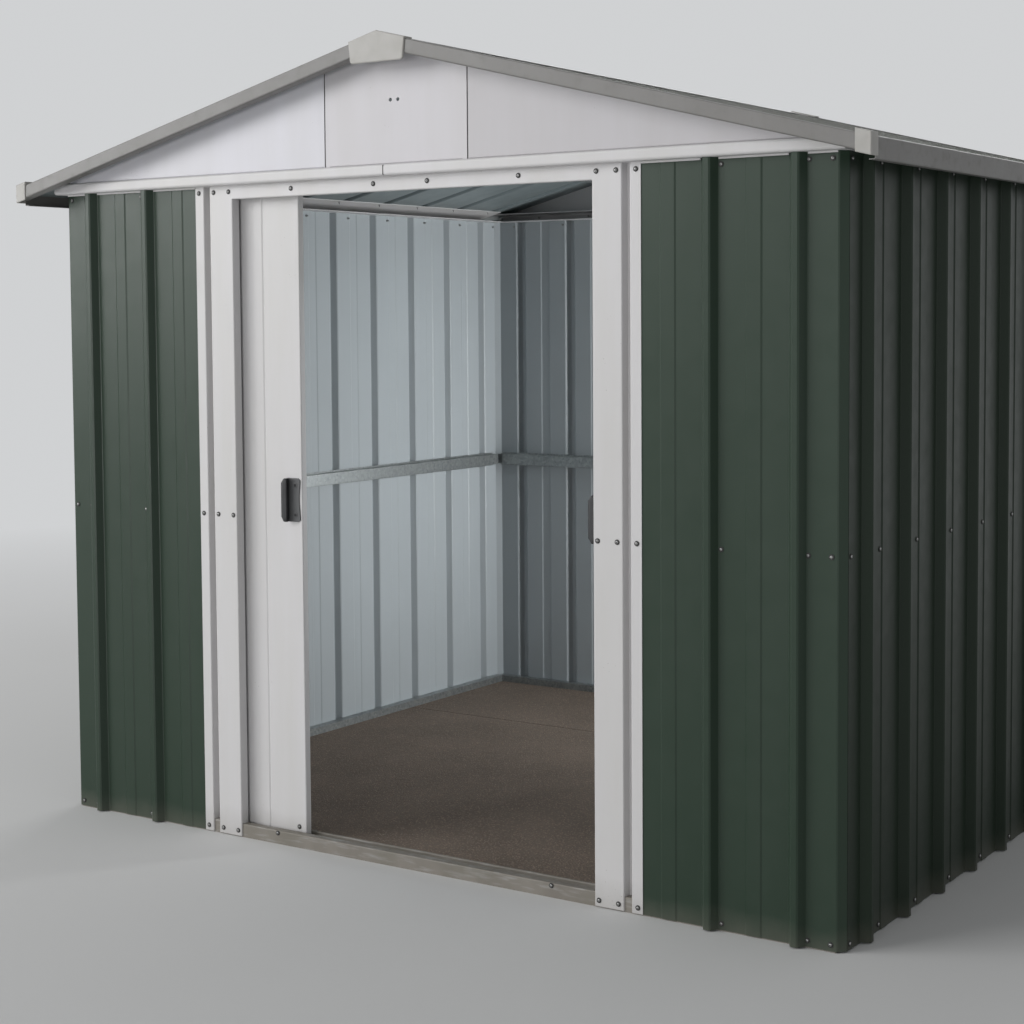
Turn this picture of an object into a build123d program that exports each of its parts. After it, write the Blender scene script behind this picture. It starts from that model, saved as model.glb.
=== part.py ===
"""Metal storage shed with a gable roof and two sliding doors in its front wall.

Millimetres, +Z up, +X to the right seen from the front, the doorway faces -Y.
The origin is at the centre of the footprint, on the ground.
"""
import math
import os

from build123d import *

# Footprint and heights
BASE_WIDTH = 2260.0          # across the front, over the flat pans of the side walls
BASE_DEPTH = 2050.0          # front to back, over the flat pans
RAIL_BOTTOM = 1656.0         # underside of the rails that the roof stands on
RAIL_HEIGHT = 28.0
RAIL_STANDOFF = 8.0          # face of those rails beyond the rib crests
RAIL_COVER = 8.0             # their flanges beyond the backs of the doors
EAVE_SEAT = 13.0             # outer height of the side rails, where the roof rests on them
ROOF_SLOPE = 14.1            # degrees
SIDE_OVERHANG = 88.0         # roof edge beyond the side walls
END_OVERHANG = 85.0          # roof edge beyond the front and back walls

# Folds: radius inside a bend
BEND = 1.0
RIB_BEND = 2.5               # ribbed sheets, where each bend is one flat facet
RAIL_BEND = 5.0              # the front and back eave rails and their soft lower edge

# Ribbed sheet
GAUGE = 2.0                  # modelled thickness of every sheet
RIB_PITCH = 205.0
RIB_BASE = 40.0
RIB_CREST = 16.0
RIB_DEPTH = 20.0
ROOF_RIB_DEPTH = 16.0
SWAGE_WIDTH = 40.0           # shallow raised strip half way between two ribs
SWAGE_DEPTH = 2.0
SWAGE_RAMP = 4.0
CORNER_BEND = 16.0           # bevel where a front or back sheet turns to meet a side wall
SHEET_LIFT = 3.0             # bottom edge of the wall sheets above the ground

# Doorway
OPENING_WIDTH = 1056.0
HEADER_HEIGHT = 34.0
HEADER_HEM = 12.0
HEADER_REVEAL = 5.0          # strip of a jamb's wide face left beside each end of the header
JAMB_FACE = 76.0             # wide flat face of a jamb
JAMB_GROOVE = 20.0
JAMB_GROOVE_DEPTH = 23.0
JAMB_STEP = 2.0              # slant of the groove's two sides
JAMB_LIP = 28.0
JAMB_RETURN = 23.0           # how far the inner edge of a jamb turns into the shed

# Base rails
BASE_RAIL_HEIGHT = 34.0
BASE_RAIL_WIDTH = 30.0
TRACK_FLOOR = 12.0           # floor of the groove that the doors run in
TRACK_LIP = 30.0             # top of the lip behind the groove
TRACK_LIP_WIDTH = 8.0
TRACK_PLAY = 6.0             # between a door and each side of the groove
FLOOR_THICKNESS = 12.0
FLOOR_JOINT = 3.0
FLOOR_SPLIT = 1480.0         # joint between the floor slabs, behind the front wall

# Sliding doors
DOOR_OVERLAP = 42.0          # how far a shut door reaches behind its jamb
DOOR_THICKNESS = 20.0
DOOR_SETBACK = 32.0          # face of the doors behind the face of the front wall
FOOT_HEIGHT = 8.0            # lower edge of a door above the floor of its groove
HANGER_GAP = 7.0             # upper edge of a door below the top track
DOOR_HEM = 12.0              # edge turned back inside a door
DOOR_CREASES = 4
DOOR_CREASE_MARGIN = 118.0
DOOR_CREASE_WIDTH = 8.0
DOOR_CREASE_DEPTH = 2.0
LEFT_DOOR_SHOWS = 187.0      # how far each door stands out of its jamb, as photographed
RIGHT_DOOR_SHOWS = 16.0
STIFFENER_HEIGHT = 40.0
RUNNER_LENGTH = 60.0
RUNNER_MARGIN = 70.0
RUNNER_PLAY = 0.3
RUNNER_SIDE_PLAY = 5.0       # stem and head of a hanger from the sides of the slot and the track
HANGER_PLATE = 3.0           # flange of a hanger on the head of a door
HANGER_RISE = 4.0            # top of a hanger below the top of the track
FOOT_INSET = 3.0             # sides of a foot inside the faces of a door

# Door handles
HANDLE_HEIGHT = 109.0
HANDLE_Z = 871.0
HANDLE_PLATE_WIDTH = 34.0
HANDLE_PLATE = 2.5
HANDLE_CORNER = 6.0          # radius of the free corners of the plate
HANDLE_WAIST = 3.5           # how far its free edge is drawn in half way up
HANDLE_WAIST_BEND = 260.0
BOSS_RADIUS = 6.5            # raised ring under each screw of the plate
BOSS_HEIGHT = 1.0
BOSS_SPACING = 74.0
BOSS_INSET = 15.0
GRIP_WIDTH = 21.0
GRIP_DEPTH = 22.0
GRIP_BEVEL = 8.0             # cut off the two outer corners of a grip, and down its side
GRIP_BEVEL_HEIGHT = 11.0
GRIP_ROUND = 7.0             # outer edge of a grip; its inner edge has half of that
GRIP_HOLLOW = 9.0            # how far the fingers reach in behind the grip
GRIP_LIP = 9.0               # thickness of the grip in front of its hollow
LEFT_HANDLE_INSET = 4.0      # edge of the handle inside the leading edge of the left door
RIGHT_GRIP_REACH = 13.0      # grip past the leading edge of the right door

# Top track of the doors
TRACK_WIDTH = 32.0
TRACK_HEIGHT = 22.0
TRACK_SLOT = 16.0

# Brace rails half way up the walls
BRACE_Z = 815.0
BRACE_HEIGHT = 30.0
BRACE_DEPTH = 24.0
FRONT_BRACE_DEPTH = 16.0
BRACE_LIP = 8.0

# Roof frame and trims
BEAM_WIDTH = 50.0
BEAM_HEIGHT = 60.0
BEAM_LIP = 12.0
PURLIN_RUN = 610.0           # purlins from the ridge, measured level
PURLIN_WIDTH = 36.0
PURLIN_HEIGHT = 34.0
RIDGE_GAP = 6.0
RIDGE_CAP_RUN = 95.0
VERGE_HEIGHT = 34.0
VERGE_FLANGE = 26.0
EAVE_TRIM_HEIGHT = 46.0
EAVE_TRIM_FLANGE = 26.0
EAVE_TRIM_LIP = 14.0
TRIM_BEND = 2.0
RAIL_JOINT = -30.0           # where the two lengths of a front or back eave rail meet
RAIL_JOINT_GAP = 1.2
RAIL_SLEEVE = 120.0          # length of the sleeve inside that joint
SLEEVE_PLAY = 0.3
GABLE_CENTRE = 415.0         # width of the middle gable sheet
GABLE_LAP = 12.0
GABLE_FLANGE = 20.0          # foot of each gable sheet, turned in on its rail
GABLE_TIP = 12.0             # ends of the gable sheets short of where the roof meets the rail
SEAM_GAP = 3.5               # groove between the middle gable sheet and each outer one
SEAM_DEPTH = 5.0
PEAK_CAP_WIDTH = 164.0
PEAK_CAP_DROP = 52.0
PEAK_CAP_WALL = 4.0
PEAK_CAP_FLARE = 5.0         # its sides lean out to the shoulders by this much
PEAK_CAP_CHAMFER = 5.0       # cut off its two lower corners
CAP_ROUND = 2.0              # outer edges of the moulded caps
CORNER_CAP_SIZE = 35.0
CORNER_CAP_HEIGHT = 38.0     # below the top of the trims
CORNER_CAP_CROWN = 8.0       # above the top of the trims
CORNER_CAP_WALL = 3.0
TRIM_CLEARANCE = 0.5
GABLE_HOLE_RADIUS = 4.5      # two bare holes in the middle gable sheet
GABLE_HOLE_SPACING = 22.0
GABLE_HOLE_RISE = 148.0      # above the eave rail

BEND_SHARE = 0.45            # most of a run that the bend at one of its ends may take

# Worked out
HALF_WIDTH = BASE_WIDTH / 2
HALF_DEPTH = BASE_DEPTH / 2
RAIL_TOP = RAIL_BOTTOM + RAIL_HEIGHT
RAIL_REACH = RIB_DEPTH + RAIL_STANDOFF
HEADER_BOTTOM = RAIL_BOTTOM - HEADER_HEIGHT
SHEET_TOP = RAIL_BOTTOM
HALF_OPENING = OPENING_WIDTH / 2
JAMB_WIDTH = JAMB_FACE + JAMB_GROOVE + JAMB_LIP
PANEL_EDGE = HALF_OPENING + JAMB_WIDTH
HEADER_END = HALF_OPENING + JAMB_FACE - HEADER_REVEAL
ROOF_HALF = HALF_WIDTH + SIDE_OVERHANG
ROOF_END = HALF_DEPTH + END_OVERHANG
SLOPE = math.radians(ROOF_SLOPE)
TAN = math.tan(SLOPE)
COS = math.cos(SLOPE)
SIN = math.sin(SLOPE)
PAN_RIDGE = RAIL_BOTTOM + EAVE_SEAT + (HALF_WIDTH + RAIL_REACH) * TAN + GAUGE / COS
DOOR_BACK = DOOR_SETBACK + DOOR_THICKNESS
RAIL_BACK = DOOR_BACK + RAIL_COVER
TRACK_CENTRE = DOOR_SETBACK + DOOR_THICKNESS / 2
TRACK_BOTTOM = RAIL_BOTTOM - TRACK_HEIGHT
DOOR_WIDTH = HALF_OPENING + DOOR_OVERLAP
DOOR_TOP = TRACK_BOTTOM - HANGER_GAP
DOOR_BOTTOM = TRACK_FLOOR + FOOT_HEIGHT
LEFT_LEADING_EDGE = LEFT_DOOR_SHOWS - HALF_OPENING
RIGHT_LEADING_EDGE = HALF_OPENING - RIGHT_DOOR_SHOWS
FRAME_END = HALF_WIDTH - CORNER_BEND - GAUGE
SIDE_END = HALF_DEPTH - CORNER_BEND - GAUGE
GABLE_REACH = RAIL_REACH - RAIL_BEND - GAUGE
GABLE_HALF = min(HALF_WIDTH, (PAN_RIDGE - GAUGE / COS - RAIL_TOP) / TAN - GABLE_TIP)
SEAM_START = GABLE_CENTRE / 2 + SEAM_GAP
THRESHOLD_BACK = DOOR_BACK + TRACK_PLAY + TRACK_LIP_WIDTH


# Sections
def folded(points, bend=0.0):
    """Outline of a strip folded along the points, the metal on their right-hand side.

    A point is (x, y), or (x, y, bend) where its bend is its own. The corners of the outline are
    (x, y, radius): sharp for a bend of 0, or else as round inside as the sheet's runs allow.
    """
    inner = []
    outer = []
    spots = [Vector(*point[:2]) for point in points]
    for i, point in enumerate(points):
        runs = [b - a for a, b in zip(spots, spots[1:])][max(i - 1, 0):i + 1]
        normals = [Vector(run.Y, -run.X).normalized() for run in runs]
        middle = sum(normals, Vector()) / len(normals)
        offset = middle * (GAUGE / middle.dot(middle))
        large = small = 0.0
        inside = point[2] if len(point) == 3 else bend
        if len(runs) == 2 and inside > 0:
            turn = runs[0].get_angle(runs[1])
            fits = BEND_SHARE * min(run.length for run in runs) / math.tan(math.radians(turn / 2))
            large = min(inside + GAUGE, fits)
            small = max(large - GAUGE, 0.0)
            if runs[0].cross(runs[1]).Z > 0:
                large, small = small, large
        outer.append((*point[:2], large))
        inner.append((point[0] + offset.X, point[1] + offset.Y, small))
    return outer + inner[::-1]


def corner_arc(before, corner, after, radius):
    """Start, middle and end of the arc that rounds a corner."""
    back = (before - corner).normalized()
    on = (after - corner).normalized()
    half = math.radians(back.get_angle(on) / 2)
    middle = corner + (back + on).normalized() * (radius / math.sin(half) - radius)
    reach = radius / math.tan(half)
    return [corner + back * reach, middle, corner + on * reach]


def corner_turns(corners):
    """Each corner's point, or its arc where it is rounded."""
    spots = [Vector(*corner[:2]) for corner in corners]
    turns = []
    for i, corner in enumerate(corners):
        if len(corner) == 3 and corner[2] > 0:
            turns.append(corner_arc(spots[i - 1], spots[i], spots[(i + 1) % len(spots)], corner[2]))
        else:
            turns.append([spots[i]])
    return turns


def polygon(corners):
    """Face with corners given as (x, y), or as (x, y, radius) where they are rounded."""
    turns = corner_turns(corners)
    edges = []
    for turn, following in zip(turns, turns[1:] + turns[:1]):
        if len(turn) == 3:
            edges.append(ThreePointArc(*turn))
        edges.append(Line(turn[-1], following[0]))
    return make_face(edges)


def facetted(corners):
    """The same outline with one flat facet from start to end of each arc, for bends that repeat."""
    return [(spot.X, spot.Y) for turn in corner_turns(corners) for spot in turn[::2]]


def along_x(points, x0, x1):
    """Solid between two X positions from an outline in Y and Z."""
    plane = Plane(origin=(x0, 0, 0), x_dir=(0, 1, 0), z_dir=(1, 0, 0))
    return extrude(plane * polygon(points), amount=x1 - x0)


def along_y(points, y0, y1):
    """Solid between two Y positions from an outline in X and Z."""
    plane = Plane(origin=(0, y1, 0), x_dir=(1, 0, 0), z_dir=(0, -1, 0))
    return extrude(plane * polygon(points), amount=y1 - y0)


def upright(points, z0, z1):
    """Solid between two heights from an outline in X and Y."""
    return extrude(Plane.XY.offset(z0) * polygon(points), amount=z1 - z0)


def block(x0, x1, y0, y1, z0, z1):
    return upright([(x0, y0), (x1, y0), (x1, y1), (x0, y1)], z0, z1)


def group(*shapes):
    """Several separate solids kept together as one piece."""
    return Compound([solid for shape in shapes for solid in shape.solids()])


def mirror_x(shape):
    return mirror(shape, about=Plane.YZ)


def mirror_y(shape):
    return mirror(shape, about=Plane.XZ)


def front(depth):
    """Y position at a depth behind the face of the front wall's pans."""
    return -HALF_DEPTH + depth


# Ribbed sheets
def raised(centre, base, crest, depth, bend):
    """Outer corners of a form pressed out of a sheet."""
    return [
        (centre - base / 2, 0.0, bend),
        (centre - crest / 2, depth, bend),
        (centre + crest / 2, depth, bend),
        (centre + base / 2, 0.0, bend),
    ]


def ribbed_line(start, end, ribs, swages, depth=RIB_DEPTH):
    """Outer line of a ribbed sheet: position along it and height above its pans."""
    swage_crest = SWAGE_WIDTH - 2 * SWAGE_RAMP
    forms = {rib: (RIB_BASE, RIB_CREST, depth, RIB_BEND) for rib in ribs}
    forms.update({swage: (SWAGE_WIDTH, swage_crest, SWAGE_DEPTH, 0.0) for swage in swages})
    line = [(start, 0.0)]
    for centre in sorted(forms):
        if start < centre - forms[centre][0] / 2 and centre + forms[centre][0] / 2 < end:
            line += raised(centre, *forms[centre])
    return line + [(end, 0.0)]


def rib_places(length):
    """Rib centres along a wall at the pitch, set out evenly about its middle."""
    count = int(length // RIB_PITCH)
    return [(i - (count - 1) / 2) * RIB_PITCH for i in range(count)]


def swage_places(ribs):
    return [rib + RIB_PITCH / 2 for rib in ribs[:-1]]


def side_wall():
    ribs = rib_places(BASE_DEPTH)
    line = ribbed_line(-SIDE_END, SIDE_END, ribs, swage_places(ribs))
    points = [(HALF_WIDTH + height, along) for along, height in facetted(folded(line))]
    return upright(points, SHEET_LIFT, SHEET_TOP)


def back_wall():
    """Sheet whose two ends are bent round the corners to the side walls."""
    ribs = rib_places(BASE_WIDTH)
    end = HALF_WIDTH - CORNER_BEND
    line = ribbed_line(-end, end, ribs, swage_places(ribs))
    line = [(-HALF_WIDTH, -CORNER_BEND)] + line + [(HALF_WIDTH, -CORNER_BEND)]
    points = [(along, HALF_DEPTH + height) for along, height in facetted(folded(line, RIB_BEND))]
    return upright(points, SHEET_LIFT, SHEET_TOP)


def front_wall():
    """Sheet to the right of the doorway, bent round the corner to the side wall."""
    ribs = rib_places(BASE_WIDTH)
    start = PANEL_EDGE - JAMB_LIP / 2
    clear = [rib for rib in ribs if rib - RIB_BASE / 2 > PANEL_EDGE]
    swages = [swage for swage in swage_places(ribs) if swage - SWAGE_WIDTH / 2 > PANEL_EDGE]
    line = ribbed_line(start, HALF_WIDTH - CORNER_BEND, clear, swages) + [(HALF_WIDTH, -CORNER_BEND)]
    points = [(along, front(-height)) for along, height in facetted(folded(line, RIB_BEND))]
    return upright(points, SHEET_LIFT, SHEET_TOP)


# Base frame
def base_rail_section():
    """Channel that a wall stands in, outer face at 0 and its back towards minus."""
    back = -BASE_RAIL_WIDTH
    floor = FLOOR_THICKNESS
    return folded([(back, floor), (back, BASE_RAIL_HEIGHT), (0, BASE_RAIL_HEIGHT), (0, 0)])


def base_rail_side():
    points = [(HALF_WIDTH - GAUGE + u, z, bend) for u, z, bend in base_rail_section()]
    return along_y(points, front(THRESHOLD_BACK), HALF_DEPTH - GAUGE - BASE_RAIL_WIDTH)


def base_rail_back():
    points = [(HALF_DEPTH - GAUGE + u, z, bend) for u, z, bend in base_rail_section()]
    return along_x(points, -FRAME_END, FRAME_END)


def base_rail_front():
    """Threshold rail with the groove that keeps the feet of the doors in line."""
    groove = DOOR_SETBACK - TRACK_PLAY
    lip = DOOR_BACK + TRACK_PLAY
    line = [(GAUGE, 0.0), (GAUGE, BASE_RAIL_HEIGHT, BEND), (groove, BASE_RAIL_HEIGHT, BEND)]
    line += [(groove, TRACK_FLOOR), (lip, TRACK_FLOOR), (lip, TRACK_LIP, BEND)]
    line += [(THRESHOLD_BACK, TRACK_LIP, BEND), (THRESHOLD_BACK, FLOOR_THICKNESS)]
    points = [(front(u), z, bend) for u, z, bend in folded(line)]
    return along_x(points, -FRAME_END, FRAME_END)


# Doorway
def jamb_right():
    """Folded jamb with a groove down its face and a return at the doorway."""
    x0 = HALF_OPENING
    x1 = x0 + JAMB_FACE
    x2 = x1 + JAMB_GROOVE
    x3 = x2 + JAMB_LIP
    face = -GAUGE
    groove = front(face + JAMB_GROOVE_DEPTH)
    line = [(x0, front(JAMB_RETURN)), (x0, front(face)), (x1, front(face))]
    line += [(x1 + JAMB_STEP, groove), (x2 - JAMB_STEP, groove)]
    line += [(x2, front(face)), (x3, front(face))]
    jamb = upright(folded(line[::-1], BEND), SHEET_LIFT, RAIL_BOTTOM)
    back = front(JAMB_RETURN + GAUGE)
    foot = block(x0 - GAUGE, x3, front(GAUGE), back, 0, BASE_RAIL_HEIGHT)
    head = block(x0 - GAUGE, HEADER_END, front(-2 * GAUGE), back, HEADER_BOTTOM, RAIL_TOP)
    return jamb - foot - head


def header():
    """Strip over the doorway with a hemmed lower edge, and a flat tab over each jamb, flush with it."""
    line = [(HEADER_HEM, HEADER_BOTTOM), (-GAUGE, HEADER_BOTTOM), (-GAUGE, RAIL_BOTTOM)]
    points = [(front(u), z, bend) for u, z, bend in folded(line, BEND)]
    strip = along_x(points, -HALF_OPENING, HALF_OPENING)
    tab = block(HALF_OPENING, HEADER_END, front(-GAUGE), front(0), HEADER_BOTTOM, RAIL_BOTTOM)
    return strip + tab + mirror_x(tab)


def door_track():
    """Channel under the front eave rail, slotted below for the hangers of the doors."""
    half = TRACK_WIDTH / 2
    slot = TRACK_SLOT / 2
    line = [(-slot, TRACK_BOTTOM), (-half, TRACK_BOTTOM), (-half, RAIL_BOTTOM)]
    line += [(half, RAIL_BOTTOM), (half, TRACK_BOTTOM), (slot, TRACK_BOTTOM)]
    points = [(front(TRACK_CENTRE + u), z, bend) for u, z, bend in folded(line)]
    end = HALF_WIDTH - RAIL_REACH
    return along_x(points, -end, end)


# Eave rails and braces
def eave_rail_section(inset, bend=0.0):
    """Channel open to the inside of the shed, set in from the outside of the rail."""
    low = RAIL_BOTTOM + inset
    high = RAIL_TOP - inset
    line = [(RAIL_BACK, low), (-RAIL_REACH + inset, low), (-RAIL_REACH + inset, high), (RAIL_BACK, high)]
    return [(front(u), z, radius) for u, z, radius in folded(line, bend)]


def eave_rail_front():
    """Box-faced rail over the front wall in two lengths, with a sleeve inside their joint.

    Its ends are cut to the slope of the roof sheets that lie on them.
    """
    section = eave_rail_section(0, RAIL_BEND)
    end = HALF_WIDTH + RAIL_STANDOFF
    below_roof = along_y(roof_outline(-end, end, RAIL_BOTTOM), front(-RAIL_REACH), front(RAIL_BACK))
    left = along_x(section, -end, RAIL_JOINT - RAIL_JOINT_GAP / 2) & below_roof
    right = along_x(section, RAIL_JOINT + RAIL_JOINT_GAP / 2, end) & below_roof
    half = RAIL_SLEEVE / 2
    inset = GAUGE + SLEEVE_PLAY
    sleeve = along_x(eave_rail_section(inset, RAIL_BEND - inset), RAIL_JOINT - half, RAIL_JOINT + half)
    return group(left, right, sleeve)


def eave_rail_right():
    """Channel with its upper flange bent to the slope of the roof."""
    outer = HALF_WIDTH + RAIL_REACH
    inner = HALF_WIDTH - RAIL_BACK
    line = [(inner, RAIL_BOTTOM), (outer, RAIL_BOTTOM)]
    line += [(outer, on_slope(outer, -GAUGE)), (inner, on_slope(inner, -GAUGE))]
    return along_y(folded(line[::-1], BEND), front(RAIL_BACK), -front(RAIL_BACK))


def brace_section(depth):
    """Hat rail fixed to the inside of a wall, face at 0 and its back towards minus."""
    low = BRACE_Z - BRACE_HEIGHT / 2
    high = BRACE_Z + BRACE_HEIGHT / 2
    line = [(0, low - BRACE_LIP), (0, low), (-depth, low), (-depth, high), (0, high), (0, high + BRACE_LIP)]
    return folded(line[::-1])


def brace_right():
    points = [(HALF_WIDTH - GAUGE + u, z, bend) for u, z, bend in brace_section(BRACE_DEPTH)]
    return along_y(points, front(THRESHOLD_BACK), SIDE_END - BRACE_DEPTH)


def brace_back():
    points = [(HALF_DEPTH - GAUGE + u, z, bend) for u, z, bend in brace_section(BRACE_DEPTH)]
    return along_x(points, -FRAME_END, FRAME_END)


def brace_front_right():
    points = [(front(GAUGE - u), z, bend) for u, z, bend in brace_section(FRONT_BRACE_DEPTH)]
    return along_x(points, PANEL_EDGE - JAMB_LIP / 2, FRAME_END)


# Roof
def on_slope(x, normal):
    """Height of a plane along the right-hand slope, a distance square above its pans."""
    return PAN_RIDGE + normal / COS - x * TAN


def roof_plane(y):
    """Plane square to the right-hand slope: its X runs towards the back, its Y up from the pans."""
    return Plane(origin=(0, y, PAN_RIDGE), x_dir=(0, 1, 0), z_dir=(COS, 0, -SIN))


def roof_right():
    """Ribbed roof sheet from the ridge to the eave, its ribs running down the slope."""
    half = ROOF_END - GAUGE
    ribs = rib_places(2 * half)
    line = ribbed_line(-half, half, ribs, [], ROOF_RIB_DEPTH)
    start = (RIDGE_GAP / 2 + ROOF_RIB_DEPTH * SIN) / COS
    stop = (ROOF_HALF - GAUGE - TRIM_BEND - TRIM_CLEARANCE) / COS - ROOF_RIB_DEPTH * TAN
    sheet = extrude(roof_plane(0) * polygon(facetted(folded(line))), amount=stop - start)
    return sheet.moved(Location((start * COS, 0, -start * SIN)))


def ridge_cap():
    high = ROOF_RIB_DEPTH + GAUGE
    run = RIDGE_CAP_RUN
    line = [(-run, on_slope(run, high)), (0, on_slope(0, high)), (run, on_slope(run, high))]
    end = ROOF_END - VERGE_FLANGE - TRIM_CLEARANCE
    return along_y(folded(line), -end, end)


def verge_front_right():
    """Channel that closes the cut edge of the right-hand roof sheet over the front wall."""
    high = ROOF_RIB_DEPTH + GAUGE
    low = high - VERGE_HEIGHT
    end = ROOF_END
    line = [(-end + VERGE_FLANGE, low), (-end, low), (-end, high), (-end + VERGE_FLANGE, high)]
    start = ((VERGE_HEIGHT - high) * SIN + TRIM_CLEARANCE) / COS
    stop = (ROOF_HALF - GAUGE - TRIM_CLEARANCE) / COS - high * TAN
    trim = extrude(roof_plane(0) * polygon(folded(line, TRIM_BEND)), amount=stop - start)
    return trim.moved(Location((start * COS, 0, -start * SIN)))


def eave_trim_right():
    high = ROOF_RIB_DEPTH + GAUGE
    x0 = ROOF_HALF - EAVE_TRIM_FLANGE
    top = on_slope(ROOF_HALF, high)
    low = top - EAVE_TRIM_HEIGHT
    line = [(x0, on_slope(x0, high)), (ROOF_HALF, top), (ROOF_HALF, low), (ROOF_HALF - EAVE_TRIM_LIP, low)]
    end = ROOF_END - VERGE_FLANGE - TRIM_CLEARANCE
    return along_y(folded(line, TRIM_BEND), -end, end)


def roof_outline(x0, x1, low):
    """Outline between two X positions, from a height up to the underside of the roof."""
    points = [(x0, low), (x1, low), (x1, on_slope(abs(x1), -GAUGE))]
    if x0 < 0 < x1:
        points.append((0, on_slope(0, -GAUGE)))
    points.append((x0, on_slope(abs(x0), -GAUGE)))
    return points


def gable_block(x0, x1, y0, y1):
    """Part of a gable sheet, from its eave rail to the roof, placed by depths behind its face."""
    face = front(-GABLE_REACH)
    return along_y(roof_outline(x0, x1, RAIL_TOP), face + y0, face + y1)


def gable_sheet(x0, x1, flange_start, flange_end):
    """Sheet with a flange turned in along a stretch of its foot."""
    face = front(-GABLE_REACH)
    line = [(face + GABLE_FLANGE, RAIL_TOP), (face, RAIL_TOP), (face, RAIL_TOP + GABLE_FLANGE)]
    foot = along_x(folded(line, BEND), flange_start, flange_end)
    foot &= gable_block(flange_start, flange_end, 0, GABLE_FLANGE)
    sheet = gable_block(x0, x1, 0, GAUGE)
    sheet -= block(flange_start, flange_end, face, face + GAUGE, RAIL_TOP, RAIL_TOP + GABLE_FLANGE)
    return sheet + foot


def gable_front_centre():
    """Middle gable sheet with its two sides turned in against the laps of its neighbours."""
    half = GABLE_CENTRE / 2
    flange = half - GABLE_LAP - BEND
    side = gable_block(half - GAUGE, half, 0, SEAM_DEPTH)
    sheet = gable_sheet(-half, half, -flange, flange) + side + mirror_x(side)
    for x in (-GABLE_HOLE_SPACING / 2, GABLE_HOLE_SPACING / 2):
        hole = Cylinder(GABLE_HOLE_RADIUS, 4 * GAUGE, rotation=(90, 0, 0))
        sheet -= hole.moved(Location((x, front(-GABLE_REACH), RAIL_TOP + GABLE_HOLE_RISE)))
    return sheet


def gable_front_right():
    """Outer gable sheet, stepped back beside the seam to lap behind the middle one."""
    turned = SEAM_START + GAUGE
    step = gable_block(SEAM_START, turned, 0, SEAM_DEPTH + GAUGE)
    lap = gable_block(GABLE_CENTRE / 2 - GABLE_LAP, turned, SEAM_DEPTH, SEAM_DEPTH + GAUGE)
    return gable_sheet(SEAM_START, GABLE_HALF, turned, GABLE_HALF) + step + lap


def gable_back():
    return mirror_y(gable_sheet(-GABLE_HALF, GABLE_HALF, -GABLE_HALF, GABLE_HALF))


def ridge_beam():
    """Folded beam under the ridge, its top bent to the two slopes."""
    half = BEAM_WIDTH / 2
    top = on_slope(half, -GAUGE)
    low = on_slope(0, -GAUGE) - BEAM_HEIGHT
    line = [(-half + BEAM_LIP, low), (-half, low), (-half, top), (0, on_slope(0, -GAUGE))]
    line += [(half, top), (half, low), (half - BEAM_LIP, low)]
    end = HALF_DEPTH + GABLE_REACH - GAUGE
    return along_y(folded(line), -end, end)


def purlin_right():
    x0 = PURLIN_RUN - PURLIN_WIDTH / 2
    x1 = PURLIN_RUN + PURLIN_WIDTH / 2
    low = on_slope(x1, -GAUGE) - PURLIN_HEIGHT
    line = [(x0, low), (x0, on_slope(x0, -GAUGE)), (x1, on_slope(x1, -GAUGE)), (x1, low)]
    end = HALF_DEPTH + GABLE_REACH - GAUGE
    return along_y(folded(line), -end, end)


def moulded_face(solid, wall):
    """Bevels the edges round the front face of a cap."""
    return chamfer(solid.edges().group_by(Axis.Y)[0], min(CAP_ROUND, wall / 2))


def peak_cap_front():
    """Moulded cap over the joint of the two front verge trims."""
    half = PEAK_CAP_WIDTH / 2
    high = ROOF_RIB_DEPTH + GAUGE + PEAK_CAP_WALL
    shoulder = on_slope(half, high)
    low = shoulder - PEAK_CAP_DROP
    foot = half - PEAK_CAP_FLARE
    right = [(foot - PEAK_CAP_CHAMFER, low), (foot, low + PEAK_CAP_CHAMFER), (half, shoulder)]
    left = [(-x, z) for x, z in reversed(right)]
    outline = right + [(0, on_slope(0, high))] + left
    face = moulded_face(along_y(outline, -ROOF_END - PEAK_CAP_WALL, -ROOF_END), PEAK_CAP_WALL)
    wall = high - PEAK_CAP_WALL
    line = [(-half, on_slope(half, high)), (0, on_slope(0, high)), (half, on_slope(half, high))]
    line += [(half, on_slope(half, wall)), (0, on_slope(0, wall)), (-half, on_slope(half, wall))]
    return face + along_y(line, -ROOF_END, -ROOF_END + VERGE_FLANGE)


def corner_cap():
    """Moulded cap over the front right corner of the roof trims, hollow behind and open below."""
    wall = CORNER_CAP_WALL
    x1 = ROOF_HALF + wall
    x0 = x1 - CORNER_CAP_SIZE
    y0 = -ROOF_END - wall
    y1 = y0 + CORNER_CAP_SIZE
    top = ROOF_RIB_DEPTH + GAUGE
    crown = top + CORNER_CAP_CROWN
    drop = top - CORNER_CAP_HEIGHT
    side = min(CAP_ROUND, wall)
    outer = [(x0, on_slope(x0, drop)), (x1, on_slope(x1, drop), side)]
    outer += [(x1, on_slope(x1, crown), side), (x0, on_slope(x0, crown))]
    x0 -= wall
    x1 -= wall
    inner = [(x0, on_slope(x0, drop - wall)), (x1, on_slope(x1, drop - wall))]
    inner += [(x1, on_slope(x1, top)), (x0, on_slope(x0, top))]
    return moulded_face(along_y(outer, y0, y1), wall) - along_y(inner, y0 + wall, y1 + wall)


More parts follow.
